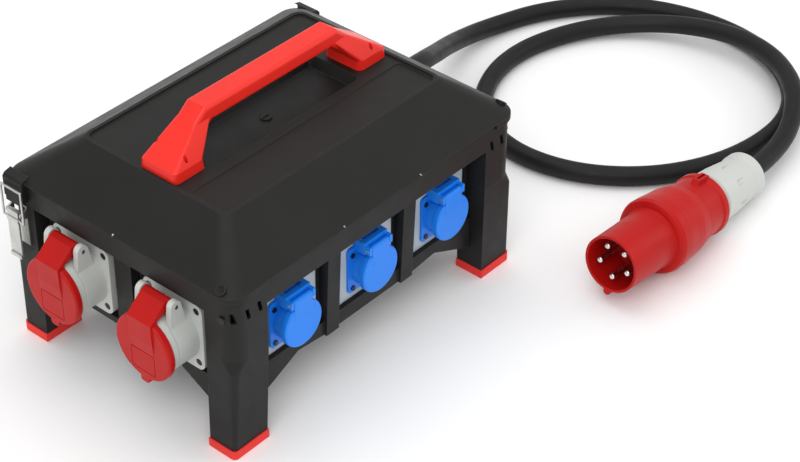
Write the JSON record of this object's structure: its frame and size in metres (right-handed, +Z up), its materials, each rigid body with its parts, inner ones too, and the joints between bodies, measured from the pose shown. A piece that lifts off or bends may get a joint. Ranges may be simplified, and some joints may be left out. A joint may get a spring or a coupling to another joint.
{
  "type": "portable power distribution box",
  "caption": "Four-legged portable power distribution box with hinged hood, carrying handle, lidded sockets, side latches and a supply cable ending in a five-pin plug.",
  "frame": {"origin": "middle of the bounding box of everything but the supply cable and its plug, on the floor", "axes": "+X along the front to the cable side, +Y to the rear, +Z up; domestic sockets face -Y, CEE sockets face -X"},
  "size_m": [0.9417, 0.4539, 0.274],
  "materials": {
    "black_shell": "fine moulded grain",
    "red_rubber": "matt",
    "red_handle": "satin",
    "grey_plate": "satin",
    "blue_socket": "semi-gloss",
    "light_grey": "satin",
    "red_cee": "semi-gloss",
    "dark_insert": "matt",
    "zinc_steel": "zinc plated",
    "black_screw": "black oxide",
    "bright_pin": "nickel plated",
    "brass_contact": "plain",
    "cable_rubber": "matt",
    "device_grey": "satin",
    "toggle_dark": "semi-gloss",
    "button_yellow": "semi-gloss"
  },
  "bodies": {
    "housing": {"base_housing": "black_shell", "breaker_three_pole": "device_grey", "breakers_single": "device_grey", "cee_body_front": "light_grey", "cee_body_rear": "light_grey", "cee_contacts": "brass_contact", "cee_inserts": "dark_insert", "cee_lid_pins": "bright_pin", "cee_screws": "black_screw", "cover_screws": "zinc_steel", "din_rail": "zinc_steel", "foot_front_left": "red_rubber", "foot_front_right": "red_rubber", "foot_rear_left": "red_rubber", "foot_rear_right": "red_rubber", "gland_body": "black_shell", "gland_nut": "black_shell", "inner_cover": "black_shell", "latch_pins": "zinc_steel", "latch_plates": "zinc_steel", "leg_front_left": "black_shell", "leg_front_right": "black_shell", "leg_rear_left": "black_shell", "leg_rear_right": "black_shell", "lid_hinge_pins": "black_screw", "plug_gland_nut": "light_grey", "plug_housing": "red_cee", "plug_pins": "bright_pin", "plug_shroud": "red_cee", "rcd_body": "device_grey", "side_cover_plates": "black_shell", "socket_body_left": "blue_socket", "socket_body_middle": "blue_socket", "socket_body_right": "blue_socket", "socket_contacts": "brass_contact", "socket_lid_pins": "bright_pin", "socket_plates": "grey_plate", "socket_screws": "black_screw", "supply_cable": "cable_rubber", "terminal_block": "device_grey"},
    "hood": {"lid_hood": "black_shell", "lid_hinge_arms": "black_shell", "handle": "red_handle", "handle_screws": "zinc_steel"},
    "socket_lid_left": {"socket_lid_left": "blue_socket"},
    "socket_lid_middle": {"socket_lid_middle": "blue_socket"},
    "socket_lid_right": {"socket_lid_right": "blue_socket"},
    "cee_lid_front": {"cee_lid_front": "red_cee"},
    "cee_lid_rear": {"cee_lid_rear": "red_cee"},
    "latch_lever_left": {"latch_lever_left": "zinc_steel"},
    "latch_lever_right": {"latch_lever_right": "zinc_steel"},
    "latch_bail_left": {"latch_bail_left": "zinc_steel"},
    "latch_bail_right": {"latch_bail_right": "zinc_steel"},
    "rcd_toggle": {"rcd_toggle": "toggle_dark"},
    "rcd_test_button": {"rcd_test_button": "button_yellow"},
    "breaker_toggle_three_pole": {"breaker_toggle_three_pole": "toggle_dark"},
    "breaker_toggle_single_1": {"breaker_toggle_single_1": "toggle_dark"},
    "breaker_toggle_single_2": {"breaker_toggle_single_2": "toggle_dark"},
    "breaker_toggle_single_3": {"breaker_toggle_single_3": "toggle_dark"}
  },
  "joints": [
    {"name": "hood_hinge", "type": "hinge", "parent": "housing", "child": "hood", "pos_m": [0.0057, -0.133, 0.16], "axis": [1, 0, 0], "range_deg": [0, 75]},
    {"name": "socket_lid_left_hinge", "type": "hinge", "parent": "housing", "child": "socket_lid_left", "pos_m": [-0.1003, -0.1426, 0.1345], "axis": [-1, 0, 0], "range_deg": [0, 95], "stiffness_Nm_per_rad": 0.02, "springref_deg": -17.19},
    {"name": "socket_lid_middle_hinge", "type": "hinge", "parent": "housing", "child": "socket_lid_middle", "pos_m": [0.0057, -0.1426, 0.1345], "axis": [-1, 0, 0], "range_deg": [0, 95], "stiffness_Nm_per_rad": 0.02, "springref_deg": -17.19},
    {"name": "socket_lid_right_hinge", "type": "hinge", "parent": "housing", "child": "socket_lid_right", "pos_m": [0.1117, -0.1426, 0.1345], "axis": [-1, 0, 0], "range_deg": [0, 95], "stiffness_Nm_per_rad": 0.02, "springref_deg": -17.19},
    {"name": "cee_lid_front_hinge", "type": "hinge", "parent": "housing", "child": "cee_lid_front", "pos_m": [-0.1983, -0.0605, 0.152], "axis": [0, 1, 0], "range_deg": [0, 90], "stiffness_Nm_per_rad": 0.06, "springref_deg": -17.19},
    {"name": "cee_lid_rear_hinge", "type": "hinge", "parent": "housing", "child": "cee_lid_rear", "pos_m": [-0.1983, 0.0605, 0.152], "axis": [0, 1, 0], "range_deg": [0, 90], "stiffness_Nm_per_rad": 0.06, "springref_deg": -17.19},
    {"name": "latch_lever_left_hinge", "type": "hinge", "parent": "housing", "child": "latch_lever_left", "pos_m": [-0.1981, 0.131, 0.151], "axis": [0, 1, 0], "range_deg": [0, 150]},
    {"name": "latch_bail_left_hinge", "type": "hinge", "parent": "latch_lever_left", "child": "latch_bail_left", "pos_m": [-0.2005, 0.131, 0.145], "axis": [0, 1, 0], "range_deg": [-165, 0]},
    {"name": "latch_lever_right_hinge", "type": "hinge", "parent": "housing", "child": "latch_lever_right", "pos_m": [0.2095, 0.131, 0.151], "axis": [0, -1, 0], "range_deg": [0, 150]},
    {"name": "latch_bail_right_hinge", "type": "hinge", "parent": "latch_lever_right", "child": "latch_bail_right", "pos_m": [0.2119, 0.131, 0.145], "axis": [0, -1, 0], "range_deg": [-165, 0]},
    {"name": "rcd_toggle_hinge", "type": "hinge", "parent": "housing", "child": "rcd_toggle", "pos_m": [-0.0483, 0, 0.165], "axis": [1, 0, 0], "range_deg": [0, 50]},
    {"name": "breaker_toggle_three_pole_hinge", "type": "hinge", "parent": "housing", "child": "breaker_toggle_three_pole", "pos_m": [0.0147, 0, 0.165], "axis": [1, 0, 0], "range_deg": [0, 50]},
    {"name": "breaker_toggle_single_1_hinge", "type": "hinge", "parent": "housing", "child": "breaker_toggle_single_1", "pos_m": [0.0507, 0, 0.165], "axis": [1, 0, 0], "range_deg": [0, 50]},
    {"name": "breaker_toggle_single_2_hinge", "type": "hinge", "parent": "housing", "child": "breaker_toggle_single_2", "pos_m": [0.0687, 0, 0.165], "axis": [1, 0, 0], "range_deg": [0, 50]},
    {"name": "breaker_toggle_single_3_hinge", "type": "hinge", "parent": "housing", "child": "breaker_toggle_single_3", "pos_m": [0.0867, 0, 0.165], "axis": [1, 0, 0], "range_deg": [0, 50]},
    {"name": "rcd_test_button_slide", "type": "slide", "parent": "housing", "child": "rcd_test_button", "axis": [0, 0, -1], "range_m": [0, 0.002], "stiffness_N_per_m": 400, "springref_m": -0.001}
  ],
  "couplings": [
    {"joint": "latch_bail_left_hinge", "follows": "latch_lever_left_hinge", "ratio": -1.1},
    {"joint": "latch_bail_right_hinge", "follows": "latch_lever_right_hinge", "ratio": -1.1}
  ]
}
